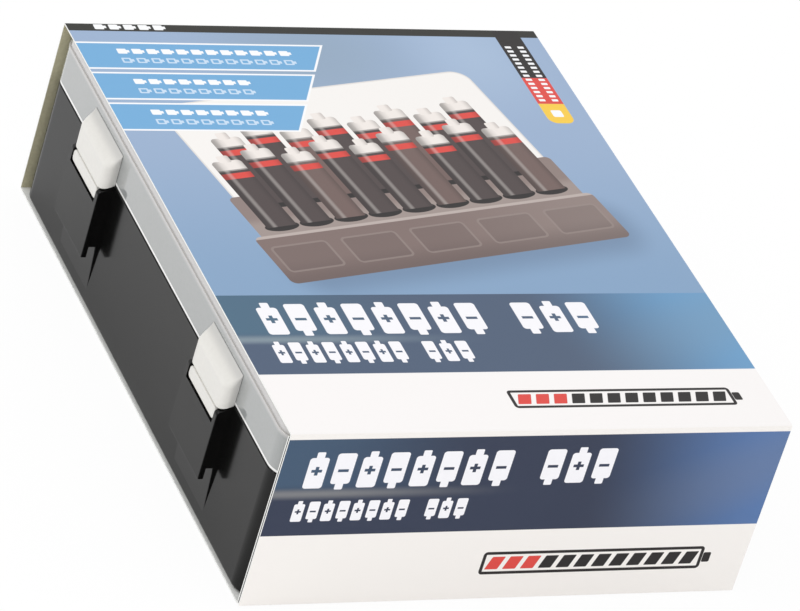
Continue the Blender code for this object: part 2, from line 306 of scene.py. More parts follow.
# Tones of lid and latches, with the lid's painted rim highlight and the latches' painted shade, with
# distances in millimetres
lid_crown_fade = 1.5
# Band of the painted highlight along the lid's rim, above and below it
lid_rim_highlight_band = (0.9, 1.0)
# Reach from the lid's wall over which the latches' painted shade fades out
latch_shade_reach = (2.6, 0.2)

# Materials
mottle_ends = (0.3, 0.7)
grain_detail = 4.0
plastic_grain_depth = 0.0001
print_grain_depth = 0.00005

# Stage
lamp_target = (0, 0, 0.03)
key_place = (-1.1, 0.4, 1.3)
key_size = 0.5
key_power = 4.5
fill_place = (-0.5, -1.7, 0.35)
fill_size = 0.8
fill_power = 1.5
floor_size = 12.0
floor_drop = 0.0002
floor_white = 1.0
floor_seen_share = 0.95
floor_mirrored_share = 0.15
surround_strength = 0.93

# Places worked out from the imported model
sleeve_low, sleeve_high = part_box("sleeve_board")
base_low, base_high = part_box("base_shell")
lid_low, lid_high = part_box("lid_shell")
left_wall = base_low.x + keeper_reach
right_wall = -left_wall
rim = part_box("latch_front")[0].z + lip_drop
lid_edge = rim + piece_gap


def middle_of(node):
    low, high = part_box(node)
    return (low + high) / 2


stations = {side: middle_of("latch_" + side).y for side in ("front", "back")}
hinge_stations = {side: middle_of("hinge_pin_" + side).y for side in ("front", "back")}
hinge_x = middle_of("hinge_pin_front").x
hinge_z = middle_of("hinge_pin_front").z


# Mesh tools


def shade(mesh, angle_deg=sharp_deg):
    """Shades a mesh smooth across edges up to the given angle."""
    mesh.shade_smooth()
    mesh.set_sharp_from_angle(angle=math.radians(angle_deg))


def finish_mesh(mesh_data, name, angle_deg=sharp_deg):
    """Makes an object of a bmesh in world places."""
    bmesh.ops.recalc_face_normals(mesh_data, faces=mesh_data.faces)
    mesh = bpy.data.meshes.new(name)
    mesh_data.to_mesh(mesh)
    mesh_data.free()
    shade(mesh, angle_deg)
    piece = bpy.data.objects.new(name, mesh)
    bpy.context.scene.collection.objects.link(piece)
    return piece


def settle(piece):
    """Puts the piece's modifiers into its mesh."""
    graph = bpy.context.evaluated_depsgraph_get()
    mesh = bpy.data.meshes.new_from_object(piece.evaluated_get(graph))
    piece.modifiers.clear()
    piece.data = mesh


def carve(piece, other, operation):
    """Joins another piece to this one, or cuts it out of it, and removes the other."""
    modifier = piece.modifiers.new(operation.lower(), "BOOLEAN")
    modifier.operation = operation
    modifier.solver = "EXACT"
    modifier.object = other
    settle(piece)
    shade(piece.data)
    bpy.data.objects.remove(other)


def even_out(piece):
    """Lets each flat face keep its own normal, so that it mirrors as a flat face does."""
    modifier = piece.modifiers.new("even shading", "WEIGHTED_NORMAL")
    modifier.keep_sharp = True
    settle(piece)


def soften(piece, radius, segments=2, angle_deg=soft_deg):
    """Rounds the piece's sharp edges."""
    modifier = piece.modifiers.new("soft edges", "BEVEL")
    modifier.width = radius
    modifier.segments = segments
    modifier.limit_method = "ANGLE"
    modifier.angle_limit = math.radians(angle_deg)
    modifier.harden_normals = False
    settle(piece)
    shade(piece.data)


def arc(centre, radius, start_deg, end_deg, segments):
    """Points on an arc in a plane, both ends included."""
    points = []
    for step in range(segments + 1):
        angle = math.radians(start_deg + (end_deg - start_deg) * step / segments)
        points.append((centre[0] + radius * math.cos(angle), centre[1] + radius * math.sin(angle)))
    return points


def rounded_outline(low, high, turn, segments):
    """A rounded rectangle between two corners in a plane."""
    left, right = low[0] + turn, high[0] - turn
    bottom, top = low[1] + turn, high[1] - turn
    points = []
    for quarter, centre in enumerate(((right, top), (left, top), (left, bottom), (right, bottom))):
        points += arc(centre, turn, 90 * quarter, 90 * quarter + 90, segments)
    return points


def rounded_loop(low, high, inset, radius, height):
    """A rounded rectangle at one height, inset from the outline between two corners."""
    turn = max(radius - inset, same_place)
    inner_low = (low.x + inset, low.y + inset)
    inner_high = (high.x - inset, high.y - inset)
    return [(x, y, height) for x, y in rounded_outline(inner_low, inner_high, turn, corner_segments)]


def loft(rings, name):
    """A closed skin through rings with equally many points, with a face at each end."""
    mesh_data = bmesh.new()
    rows = [[mesh_data.verts.new(point) for point in ring] for ring in rings]
    for lower, upper in zip(rows, rows[1:]):
        for index, start in enumerate(lower):
            after = (index + 1) % len(lower)
            mesh_data.faces.new((start, lower[after], upper[after], upper[index]))
    mesh_data.faces.new(rows[0])
    mesh_data.faces.new(rows[-1])
    return finish_mesh(mesh_data, name)


def prism(profile, middle, width, name):
    """An outline in the XZ plane, drawn out along Y."""
    rings = [[(x, y, z) for x, z in profile] for y in (middle - width / 2, middle + width / 2)]
    return loft(rings, name)


def block(low, high, name):
    """A box between two corners, as a cutter or a web inside another piece."""
    profile = [(low[0], low[2]), (high[0], low[2]), (high[0], high[2]), (low[0], high[2])]
    return prism(profile, (low[1] + high[1]) / 2, high[1] - low[1], name)


def rod(centre, radius, length, name):
    """A round bar along Y."""
    profile = arc((centre[0], centre[2]), radius, 0, 360, round_segments)[:-1]
    return prism(profile, centre[1], length, name)


# Pieces


def place_camera():
    camera = bpy.data.cameras.new("camera")
    camera.lens = camera_lens
    camera.sensor_width = camera_sensor
    camera.dof.use_dof = False
    looker = bpy.data.objects.new("camera", camera)
    back = -Vector(camera_look).normalized()
    up = Vector(camera_up).normalized()
    right = up.cross(back)
    turn = Matrix((right, up, back)).transposed().to_4x4()
    looker.matrix_world = Matrix.Translation(camera_place) @ turn
    bpy.context.scene.collection.objects.link(looker)
    bpy.context.scene.camera = looker


def make_base():
    """The lower shell with its keepers on the left wall and its hinge lugs on the right one."""
    low = Vector((left_wall, base_low.y, base_low.z))
    high = Vector((right_wall, base_high.y, rim))
    bottom_centre = (base_bottom_radius, low.z + base_bottom_radius)
    rim_centre = (base_rim_radius, rim - base_rim_radius)
    inner_centre = (base_wall - base_rim_radius, rim - base_rim_radius)
    bottom_arc = arc(bottom_centre, base_bottom_radius, 270, 180, turn_segments)
    rim_arc = arc(rim_centre, base_rim_radius, 180, 90, edge_segments)
    inner_arc = arc(inner_centre, base_rim_radius, 90, 0, edge_segments)
    floor = low.z + base_floor
    profile = bottom_arc + rim_arc + inner_arc + [(base_wall, floor)]
    rings = [rounded_loop(low, high, inset, corner_radius, z) for inset, z in profile]
    base = loft(rings, "base_shell_moulding")
    for middle in stations.values():
        carve(base, make_keeper(middle), "UNION")
        carve(base, keeper_notch(middle), "DIFFERENCE")
        carve(base, keeper_cavity(middle), "DIFFERENCE")
        carve(base, make_catch(middle), "UNION")
    for middle in hinge_stations.values():
        for side in (-1, 1):
            centre = middle + side * ((knuckle_length + lug_length) / 2 + piece_gap)
            lug = prism(lug_profile(), centre, lug_length, "lug")
            soften(lug, soft_edge)
            carve(base, lug, "UNION")
        carve(base, make_bore(middle, pin_length()), "DIFFERENCE")
    even_out(base)
    return base


def make_keeper(middle):
    """A keeper's block: top that falls away from the wall, hanging skin, and the ramp below it."""
    outer = left_wall - keeper_reach
    inside = left_wall + joint_overlap
    top = rim - keeper_top_drop
    root = rim - keeper_root_drop
    skin_end = rim - keeper_skin_drop
    cheek_end = rim - keeper_cheek_drop
    ramp_end = rim - ramp_drop
    edge_centre = (outer + keeper_edge_radius, top - keeper_edge_radius)
    points = [(inside, root), (left_wall, root)]
    points += arc(edge_centre, keeper_edge_radius, 90, 180, large_turn_segments)
    points += [(outer, skin_end), (outer + keeper_skin, skin_end), (outer + keeper_skin, cheek_end)]
    points += [(left_wall - ramp_reach, cheek_end), (left_wall, ramp_end), (inside, ramp_end)]
    keeper = prism(points, middle, keeper_width, "keeper")
    soften(keeper, soft_edge)
    return keeper


def keeper_notch(middle):
    """The opening in a keeper's skin that the latch's lip sits in."""
    half = lip_width / 2 + piece_gap
    low = (left_wall - keeper_reach - cut_overrun, middle - half, rim - lip_drop - 2 * piece_gap)
    high = (left_wall + piece_gap / 3, middle + half, rim - keeper_root_drop + cut_overrun)
    return block(low, high, "notch")


def keeper_cavity(middle):
    """The hollow behind a keeper's skin, open below."""
    half = keeper_width / 2 - keeper_cheek
    roof = rim - lip_drop - 2 * piece_gap - keeper_roof
    low = (left_wall - keeper_reach + keeper_skin, middle - half, rim - keeper_cheek_drop - cut_overrun)
    return block(low, (left_wall - ramp_reach, middle + half, roof), "cavity")


def make_catch(middle):
    """The small hook on the wall that the latch's tooth goes under."""
    low = rim - lip_drop + tooth_height + 2 * piece_gap
    inside = left_wall + joint_overlap
    top = low + catch_height + catch_reach
    outer = left_wall - catch_reach
    profile = [(inside, low), (inside, top), (left_wall, top), (outer, low + catch_height), (outer, low)]
    return prism(profile, middle, tooth_width, "catch")


def pin_length():
    return knuckle_length + 2 * (piece_gap + lug_length + pin_overhang)


def make_bore(middle, length):
    """A cutter for a pin's hole through pieces of the given length."""
    return rod((hinge_x, middle, hinge_z), pin_radius + skin_clearance, length + cut_overrun, "bore")


def lug_profile():
    """Side view of a base lug: a round eye on a gusset that stays below the parting line at the wall."""
    inside = right_wall - joint_overlap
    below = rim - 2 * piece_gap
    points = [(inside, rim - lug_foot), (inside, below), (right_wall + piece_gap, below)]
    return points + arc((hinge_x, hinge_z), hinge_radius, *lug_arc_deg, round_segments // 2)


def knuckle_profile():
    """Side view of the lid's knuckle: the same eye on an arm that stays above the parting line."""
    inside = right_wall - joint_overlap
    above = lid_edge + 2 * piece_gap
    points = [(inside, lid_edge + knuckle_foot), (inside, above), (right_wall + piece_gap, above)]
    return points + arc((hinge_x, hinge_z), hinge_radius, *knuckle_arc_deg, round_segments // 2)


def make_lid():
    """The frosted lid: walls, a slightly narrower crown, and the two hinge knuckles."""
    low = Vector((left_wall, lid_low.y, lid_edge))
    high = Vector((right_wall, lid_high.y, lid_high.z))
    crown_low = high.z - lid_crown_height
    rim_out = arc((lid_rim_radius, low.z + lid_rim_radius), lid_rim_radius, 270, 180, edge_segments)
    step_out = arc((lid_step_radius, crown_low - lid_step_radius), lid_step_radius, 180, 90, edge_segments)
    edge_centre = (lid_crown_step + lid_edge_radius, high.z - lid_edge_radius)
    crown_edge = arc(edge_centre, lid_edge_radius, 180, 90, large_turn_segments)
    crown = [(lid_crown_step, crown_low)] + crown_edge
    rim_in = arc((lid_wall - lid_rim_radius, low.z + lid_rim_radius), lid_rim_radius, 0, -90, edge_segments)
    inner = [(lid_crown_step + lid_wall, high.z - lid_wall), (lid_wall, crown_low - lid_wall)] + rim_in
    profile = inner + rim_out + step_out + crown
    rings = [rounded_loop(low, high, inset, corner_radius, z) for inset, z in profile]
    lid = loft(rings, "lid_shell_moulding")
    for middle in hinge_stations.values():
        knuckle = prism(knuckle_profile(), middle, knuckle_length, "knuckle")
        soften(knuckle, soft_edge)
        carve(lid, knuckle, "UNION")
        carve(lid, make_bore(middle, knuckle_length), "DIFFERENCE")
    even_out(lid)
    return lid


def hood_reach(height, inset):
    """How far the hood stands off the wall at a height above its lower edge.

    It is upright at first, and then runs in a soft curve to its root.
    """
    rise = latch_height + latch_bottom_drop
    share = min((rise - height) / (rise - latch_upright), 1.0)
    swell = share * share * (3 - 2 * share)
    return latch_root_reach + (latch_reach - latch_root_reach) * swell - inset


def hood_rings(middle, inset, overrun):
    """Level rings of a hood, with its outer upright edges rounded and its lower end slanted."""
    rise = latch_height + latch_bottom_drop - (latch_root_solid if inset else 0.0)
    back = left_wall - skin_clearance + overrun
    half = latch_width / 2 - inset
    rings = []
    for row in range(latch_rows + 1):
        height = rise * row / latch_rows
        outer = left_wall - max(hood_reach(height, inset), latch_root_reach)
        depth = back - outer
        turn = min(latch_edge_radius, depth * latch_edge_depth_share)
        outline = [(back, middle + half)]
        outline += arc((outer + turn, middle + half - turn), turn, 90, 180, turn_segments)
        outline += arc((outer + turn, middle - half + turn), turn, 180, 270, turn_segments)
        outline.append((back, middle - half))
        lift = latch_slant * (1 - row / latch_rows)
        z_low = rim - latch_bottom_drop - (overrun if row == 0 else 0.0)
        rings.append([(x, y, z_low + height + lift * (x - outer) / depth) for x, y in outline])
    return rings


def make_latch(side):
    """One snap latch: a hollow hood with cheeks, a finger lip below it and a tooth behind the lip."""
    middle = stations[side]
    latch = loft(hood_rings(middle, 0.0, 0.0), "latch_" + side + "_hood")
    carve(latch, loft(hood_rings(middle, latch_skin, cut_overrun), "cavity"), "DIFFERENCE")
    soften(latch, soft_edge, segments=3, angle_deg=hood_soft_deg)

    outer = left_wall - lip_reach
    low = rim - lip_drop
    turn = lip_corner_radius
    half = lip_width / 2
    outline = rounded_outline((middle - half, low), (middle + half, low + lip_height), turn, turn_segments)
    rings = [[(x, y, z) for y, z in outline] for x in (outer, outer + lip_skin)]
    lip = loft(rings, "lip")
    soften(lip, lip_edge_radius, edge_segments)
    carve(latch, lip, "UNION")

    neck_x = left_wall - latch_reach + neck_inset
    half_neck = half - turn
    neck_low = (neck_x, middle - half_neck, low + lip_height - joint_overlap)
    neck_high = (neck_x + latch_skin, middle + half_neck, rim - latch_bottom_drop + joint_overlap)
    carve(latch, block(neck_low, neck_high, "neck"), "UNION")

    tooth_low = (outer + lip_skin / 2, middle - tooth_width / 2, low + piece_gap)
    tooth_end = left_wall - (lip_reach - lip_skin - tooth_depth)
    tooth_high = (tooth_end, middle + tooth_width / 2, low + tooth_height)
    carve(latch, block(tooth_low, tooth_high, "tooth"), "UNION")
    even_out(latch)
    return latch


def sleeve_path():
    """The middle line of the folded strip, as (y, z), from the flap round to the front panel."""
    half = board / 2
    turn = fold_radius - half
    flap_y = sleeve_low.y + board + flap_gap + half
    front_y = sleeve_low.y + half
    back_y = sleeve_high.y - half
    low_z = sleeve_low.z + half
    high_z = sleeve_high.z - half
    path = [(flap_y, sleeve_low.z + flap_height)]
    path += arc((flap_y + turn, low_z + turn), turn, 180, 270, fold_segments)
    path += arc((back_y - turn, low_z + turn), turn, 270, 360, fold_segments)
    path += arc((back_y - turn, high_z - turn), turn, 0, 90, fold_segments)
    path += arc((front_y + turn, high_z - turn), turn, 90, 180, fold_segments)
    return path + [(front_y, low_z)]


def make_sleeve(materials):
    """The printed board sleeve.

    Its materials are, in order, for the bottom's print, the back's print, the top and front's print, the raw
    inside, the cut edges and the faces where flap and front panel overlap, painted dark as shade in the gap
    between them.
    """
    bottom_slot, back_slot, top_slot, inside_slot, edge_slot, gap_shade_slot = range(len(materials))
    path = [Vector(point) for point in sleeve_path()]
    rows = []
    sleeve = bmesh.new()
    for index, point in enumerate(path):
        before = path[max(index - 1, 0)]
        after = path[min(index + 1, len(path) - 1)]
        along = (after - before).normalized()
        outward = Vector((along.y, -along.x)) * (board / 2)
        row = []
        for spot in (point + outward, point - outward):
            row.append([sleeve.verts.new((x, spot.x, spot.y)) for x in (sleeve_low.x, sleeve_high.x)])
        rows.append(row)
    # Along the strip a panel is one face and a fold is several. Prints meet in the middle of a fold.
    panel_and_fold = 1 + fold_segments
    back_start = panel_and_fold + 1 + fold_segments // 2
    top_start = back_start + panel_and_fold
    front_panel = len(path) - 2
    outer_slots = [bottom_slot] * back_start + [back_slot] * panel_and_fold
    outer_slots += [top_slot] * (front_panel + 1 - top_start)
    # Painted shade: the flap's outer face and the front panel's inner face, across the gap between them, are
    # dark
    outer_slots[0] = gap_shade_slot
    inner_slots = [edge_slot] * (back_start - 1) + [inside_slot] * (front_panel + 1 - back_start)
    inner_slots.append(gap_shade_slot)
    for index, ((outer, inner), (next_outer, next_inner)) in enumerate(zip(rows, rows[1:])):
        face = sleeve.faces.new((outer[0], outer[1], next_outer[1], next_outer[0]))
        face.material_index = outer_slots[index]
        lining = sleeve.faces.new((inner[1], inner[0], next_inner[0], next_inner[1]))
        lining.material_index = inner_slots[index]
        for end in (0, 1):
            edge = sleeve.faces.new((outer[end], next_outer[end], next_inner[end], inner[end]))
            edge.material_index = edge_slot
    for outer, inner in (rows[0], rows[-1]):
        sleeve.faces.new((outer[0], outer[1], inner[1], inner[0])).material_index = edge_slot
    piece = finish_mesh(sleeve, "sleeve_printed_board", board_sharp_deg)
    even_out(piece)
    for material in materials:
        piece.data.materials.append(material)
    return piece


# Materials


def linear(red, green, blue):
    """A colour given as it looks on a screen, 0 to 255, in the values that shaders take."""
    shares = []
    for value in (red, green, blue):
        share = value / 255
        shares.append(share / 12.92 if share <= 0.04045 else ((share + 0.055) / 1.055) ** 2.4)
    return (*shares, 1.0)


# Inks

white_ink = linear(247, 248, 250)
pale_blue = linear(200, 221, 241)
board_white = linear(243, 240, 237)
title_white = linear(246, 245, 249)
dark_ink = linear(30, 26, 26)
strip_dark = linear(34, 34, 29)
red_ink = linear(221, 70, 62)
yellow_ink = linear(246, 203, 68)
label_blue = linear(112, 170, 215)
picture_blue = linear(152, 174, 204)
picture_low_blue = linear(131, 161, 194)
picture_grey_blue = linear(140, 161, 182)
picture_shade = linear(84, 104, 132)
cell_dark = linear(74, 63, 63)
cell_black = linear(30, 24, 25)
cell_brown = linear(112, 92, 88)
cell_silver = linear(238, 231, 226)
cell_grey = linear(150, 141, 138)
tray_brown = linear(126, 108, 104)
tray_light = linear(158, 144, 139)
tray_dark = linear(84, 70, 69)
tray_rim_tone = linear(186, 173, 168)
top_white = linear(246, 243, 242)
front_white = linear(245, 241, 237)
bottom_grey = linear(170, 176, 182)
lid_tones = (linear(153, 156, 155), linear(156, 158, 158))
lid_crown_tone = linear(193, 191, 190)
# Painted highlight along the lid's rim
lid_rim_highlight_tone = linear(240, 240, 238)
latch_tones = (linear(222, 220, 215), linear(225, 223, 218))
# Painted shade on the latches near the lid's wall
latch_painted_shade_tone = linear(196, 195, 192)
base_tones = (linear(4, 4, 4), linear(8, 8, 7))
grey_tones = (linear(50, 50, 49), linear(58, 58, 56))
raw_inside_tones = (linear(184, 179, 150), linear(196, 191, 163))
raw_edge_tones = (linear(232, 233, 231), linear(242, 242, 239))
# Painted shade in the gap between the sleeve's flap and its front panel
gap_shade_tones = (linear(44, 42, 38), linear(54, 51, 46))

# Tones of a band: its ground, its left end, its right end and its streak
top_band_tones = (linear(73, 90, 115), linear(71, 104, 128), linear(105, 155, 197), linear(130, 146, 157))
front_band_tones = (linear(44, 53, 76), linear(60, 84, 110), linear(84, 117, 168), linear(126, 127, 130))


def new_material(name, roughness, **settings):
    """A material with a Principled shader, whose sockets take the given uniform values."""
    material = bpy.data.materials.new(name)
    material.use_nodes = True
    shader = material.node_tree.nodes["Principled BSDF"]
    shader.inputs["Roughness"].default_value = roughness
    for socket, value in settings.items():
        shader.inputs[socket.replace("_", " ")].default_value = value
    return material, material.node_tree, shader


def grain(tree, shader, scale, strength, depth):
    """Fine surface relief from noise in object coordinates."""
    coordinates = tree.nodes.new("ShaderNodeTexCoord")
    noise = tree.nodes.new("ShaderNodeTexNoise")
    noise.inputs["Scale"].default_value = scale
    noise.inputs["Detail"].default_value = grain_detail
    relief = tree.nodes.new("ShaderNodeBump")
    relief.inputs["Strength"].default_value = strength
    relief.inputs["Distance"].default_value = depth
    tree.links.new(coordinates.outputs["Object"], noise.inputs["Vector"])
    tree.links.new(noise.outputs["Fac"], relief.inputs["Height"])
    tree.links.new(relief.outputs["Normal"], shader.inputs["Normal"])
    return noise


def mottle(tree, noise, dark, light):
    """Colour that wanders between two tones with the noise."""
    ramp = tree.nodes.new("ShaderNodeValToRGB")
    for element, position, tone in zip(ramp.color_ramp.elements, mottle_ends, (dark, light)):
        element.position = position
        element.color = tone
    tree.links.new(noise.outputs["Fac"], ramp.inputs["Fac"])
    return ramp.outputs["Color"]


def moulded(name, dark, light, roughness, scale, strength, **settings):
    """Moulded plastic: two close tones and a fine relief."""
    material, tree, shader = new_material(name, roughness, **settings)
    noise = grain(tree, shader, scale, strength, plastic_grain_depth)
    tree.links.new(mottle(tree, noise, dark, light), shader.inputs["Base Color"])
    return material


def frosted_lid():
    """The lid's plastic: paler on the crown above its step, with a painted highlight as a bright line along
    its cut rim.
    """
    material, tree, shader = new_material("lid_plastic", 0.08, Coat_Weight=1.0, Coat_Roughness=0.04)
    noise = grain(tree, shader, scale=1400.0, strength=0.02, depth=plastic_grain_depth)
    tone = Print(tree, mottle(tree, noise, *lid_tones))
    across, _, drop = print_places(tree)
    wall = inside(across - (right_wall + piece_gap - sleeve_low.x) * per_metre)
    crown_drop = (sleeve_high.z - (lid_high.z - lid_crown_height)) * per_metre
    rim_drop = (sleeve_high.z - lid_edge) * per_metre
    above, below = lid_rim_highlight_band
    tone.lay(drop.ramp(crown_drop + lid_crown_fade, crown_drop), lid_crown_tone)
    # Painted highlight: a bright line along the lid's cut rim, on the walls but not on the knuckles
    tone.lay(drop.within(rim_drop - above, rim_drop + below) * wall, lid_rim_highlight_tone)
    tree.links.new(tone.colour, shader.inputs["Base Color"])
    return material


def milky_latch():
    """The latches' plastic: white, and greyer towards the lid's wall with painted shade where the latch
    meets it.
    """
    material, tree, shader = new_material("latch_plastic", 0.3)
    noise = grain(tree, shader, scale=900.0, strength=0.02, depth=plastic_grain_depth)
    tone = Print(tree, mottle(tree, noise, *latch_tones))
    across, _, _ = print_places(tree)
    reach = -(across - (left_wall - sleeve_low.x) * per_metre)
    # Painted shade: greyer towards the lid's wall
    tone.lay(reach.ramp(*latch_shade_reach), latch_painted_shade_tone)
    tree.links.new(tone.colour, shader.inputs["Base Color"])
    return material


def plain_board(name, dark, light):
    """Unprinted board: pale fibres without gloss."""
    return moulded(name, dark, light, roughness=0.85, scale=900.0, strength=0.25, Specular_IOR_Level=0.2)


def dress(piece, material):
    """Gives a piece one material in place of those it has."""
    piece.data.materials.clear()
    piece.data.materials.append(material)


# Printed pattern


class Field:
    """A number that varies over a surface, worked out by a material's nodes."""

    def __init__(self, tree, source):
        self.tree = tree
        self.source = source

    def math(self, operation, *others):
        node = self.tree.nodes.new("ShaderNodeMath")
        node.operation = operation
        for socket, value in zip(node.inputs, (self, *others)):
            if isinstance(value, Field):
                self.tree.links.new(value.source, socket)
            else:
                socket.default_value = value
        return Field(self.tree, node.outputs["Value"])

    def __add__(self, other):
        return self.math("ADD", other)

    def __sub__(self, other):
        return self.math("SUBTRACT", other)

    def __mul__(self, other):
        return self.math("MULTIPLY", other)

    def __truediv__(self, other):
        return self.math("DIVIDE", other)

    def __neg__(self):
        return self.math("MULTIPLY", -1.0)

    def __or__(self, other):
        return self.math("MAXIMUM", other)

    def __and__(self, other):
        return self.math("MINIMUM", other)

    def __invert__(self):
        return self * -1.0 + 1.0

    def size(self):
        return self.math("ABSOLUTE")

    def within(self, low, high):
        """1 where the value lies between two limits, with soft edges."""
        return inside((self - (low + high) / 2).size() - (high - low) / 2)

    def ramp(self, low, high):
        """0 at one value and 1 at the other, smoothly in between."""
        node = self.tree.nodes.new("ShaderNodeMapRange")
        node.interpolation_type = "SMOOTHSTEP"
        node.inputs["From Min"].default_value = low
        node.inputs["From Max"].default_value = high
        self.tree.links.new(self.source, node.inputs["Value"])
        return Field(self.tree, node.outputs["Result"])

    def repeated(self, pitch):
        """The value's place in its share of a row, from the middle of the share."""
        return self.math("FLOORED_MODULO", pitch) - pitch / 2

    def turn_taken(self, pitch, turns):
        """Which of so many turns the value's share of a row has, from 0 up."""
        return (self / pitch).math("FLOOR").math("FLOORED_MODULO", float(turns))


def inside(distance):
    """1 where a distance is negative and 0 where it is positive, over one ink edge."""
    node = distance.tree.nodes.new("ShaderNodeMapRange")
    node.inputs["From Min"].default_value = ink_edge / 2
    node.inputs["From Max"].default_value = -ink_edge / 2
    distance.tree.links.new(distance.source, node.inputs["Value"])
    return Field(distance.tree, node.outputs["Result"])


def line_along(distance, width):
    """1 on a line of the given width, just inside where a distance is 0."""
    return inside((distance + width / 2).size() - width / 2)


def box_distance(across, down, shape):
    """How far a place is outside a rounded box about zero, given its half width, half height and corner."""
    half_width, half_height, radius = shape
    over = across.size() - (half_width - radius)
    under = down.size() - (half_height - radius)
    corner = ((over | 0.0).math("POWER", 2.0) + (under | 0.0).math("POWER", 2.0)).math("SQRT")
    return corner + ((over | under) & 0.0) - radius


def box(across, down, shape):
    return inside(box_distance(across, down, shape))


def length_of(across, down):
    return (across.math("POWER", 2.0) + down.math("POWER", 2.0)).math("SQRT")


class Print:
    """Layers of colour on a surface, over a first colour or another node's colour."""

    def __init__(self, tree, colour):
        self.tree = tree
        self.colour = colour
        if isinstance(colour, tuple):
            start = tree.nodes.new("ShaderNodeRGB")
            start.outputs[0].default_value = colour
            self.colour = start.outputs[0]

    def lay(self, mask, colour):
        """Lays a colour, or another print's colour, over what is there, where the mask is 1."""
        node = self.tree.nodes.new("ShaderNodeMixRGB")
        self.tree.links.new(mask.source, node.inputs["Fac"])
        self.tree.links.new(self.colour, node.inputs["Color1"])
        if isinstance(colour, tuple):
            node.inputs["Color2"].default_value = colour
        else:
            self.tree.links.new(colour, node.inputs["Color2"])
        self.colour = node.outputs["Color"]


def print_places(tree):
    """Millimetres across from the left edge, down the top from the back fold, and below the top."""
    coordinates = tree.nodes.new("ShaderNodeTexCoord")
    parts = tree.nodes.new("ShaderNodeSeparateXYZ")
    tree.links.new(coordinates.outputs["Object"], parts.inputs["Vector"])
    x, y, z = (Field(tree, parts.outputs[axis]) for axis in "XYZ")
    across = x * per_metre - sleeve_low.x * per_metre
    behind = -(y * per_metre) + sleeve_high.y * per_metre
    drop = -(z * per_metre) + sleeve_high.z * per_metre
    return across, behind, drop


def upright_cells(across, down):
    """A row of standing cells with their signs left open, every other one upside down, and one left out."""
    odd = across.turn_taken(sign_pitch, 2)
    place = across.repeated(sign_pitch)
    height = (down - sign_tall / 2) * (odd * -2.0 + 1.0)
    body = box(place, height - sign_body_drop, sign_body)
    nub = box(place, height + sign_nub_rise, sign_nub)
    signs = box(place, height, sign_arm) | box(place, height, sign_post) * ~odd
    gap = across.within(sign_blank * sign_pitch, (sign_blank + 1) * sign_pitch)
    row = across.within(0.0, sign_pitch * sign_count)
    return (body | nub) * ~signs * ~gap * row


def title(page, across, down, place, scale):
    page.lay(upright_cells((across - place[0]) / scale[0], (down - place[1]) / scale[1]), title_white)


def lying_cells(across, down, count, outlined):
    """A row of small lying cells."""
    place = across.repeated(small_pitch)
    distance = box_distance(place + small_body_shift, down, small_body)
    body = line_along(distance, small_line) if outlined else inside(distance)
    nub = box(place - small_nub_shift, down, small_nub)
    return (body | nub) * across.within(0.0, count * small_pitch)


def charge_bar(page, across, down):
    """A long cell outline with its nub and a row of bars inside it, the first few red."""
    shell = box_distance(across - bar_length / 2, down, (bar_length / 2, bar_half, bar_corner))
    nub = box(across - bar_length - bar_nub_shift, down, bar_nub)
    pitch = (bar_length - 2 * bar_margin) / bar_count
    place = (across - bar_margin).repeated(pitch) + down * bar_lean
    bars = box(place, down, (pitch / 2 - bar_space, bar_half - bar_line - bar_space, bar_round))
    bars = bars * across.within(bar_margin, bar_length - bar_margin)
    page.lay(line_along(shell, bar_line) | nub | bars, dark_ink)
    page.lay(bars * across.within(bar_margin, bar_margin + pitch * bar_red_count), red_ink)


def label_boxes(page, across, down):
    """Three blue boxes with white outlines and slanted right ends, each with two rows of cells."""
    slanted_end = across + down * label_slant - (label_end + label_first * label_slant)
    start = across - label_row_start
    for number, count in enumerate(label_row_counts):
        top = label_first + number * label_pitch
        reach = ((down - top - label_tall / 2).size() - label_tall / 2) | slanted_end
        page.lay(inside(reach), white_ink)
        page.lay(inside(reach + label_line), label_blue)
        page.lay(lying_cells(start, down - top - label_row_drop, count, False), white_ink)
        page.lay(lying_cells(start, down - top - 2 * label_row_drop, count, True), pale_blue)


def corner_tag(page, across, down):
    """The upright tag: dark, then red, then a yellow end with round corners, with plain marks."""
    low, high = tag_sides
    middle = (low + high) / 2
    column = across.within(low, high)
    page.lay(column * down.within(0.0, tag_dark_end), dark_ink)
    page.lay(column * down.within(tag_dark_end, tag_red_end), red_ink)
    end_middle = (tag_red_end + tag_end - tag_corner) / 2
    end_shape = ((high - low) / 2, (tag_end - tag_red_end + tag_corner) / 2, tag_corner)
    end_box = box(across - middle, down - end_middle, end_shape)
    page.lay(end_box * down.within(tag_red_end, tag_end), yellow_ink)
    for side in (-1, 1):
        beside = across - middle - side * (high - low) / 4
        marks = box(beside, down.repeated(tag_mark_pitch), tag_mark)
        page.lay(marks * down.within(tag_mark_start, tag_red_end - tag_mark_margin), white_ink)
    page.lay(box(across - middle, down - (tag_red_end + tag_end) / 2, tag_dot), white_ink)


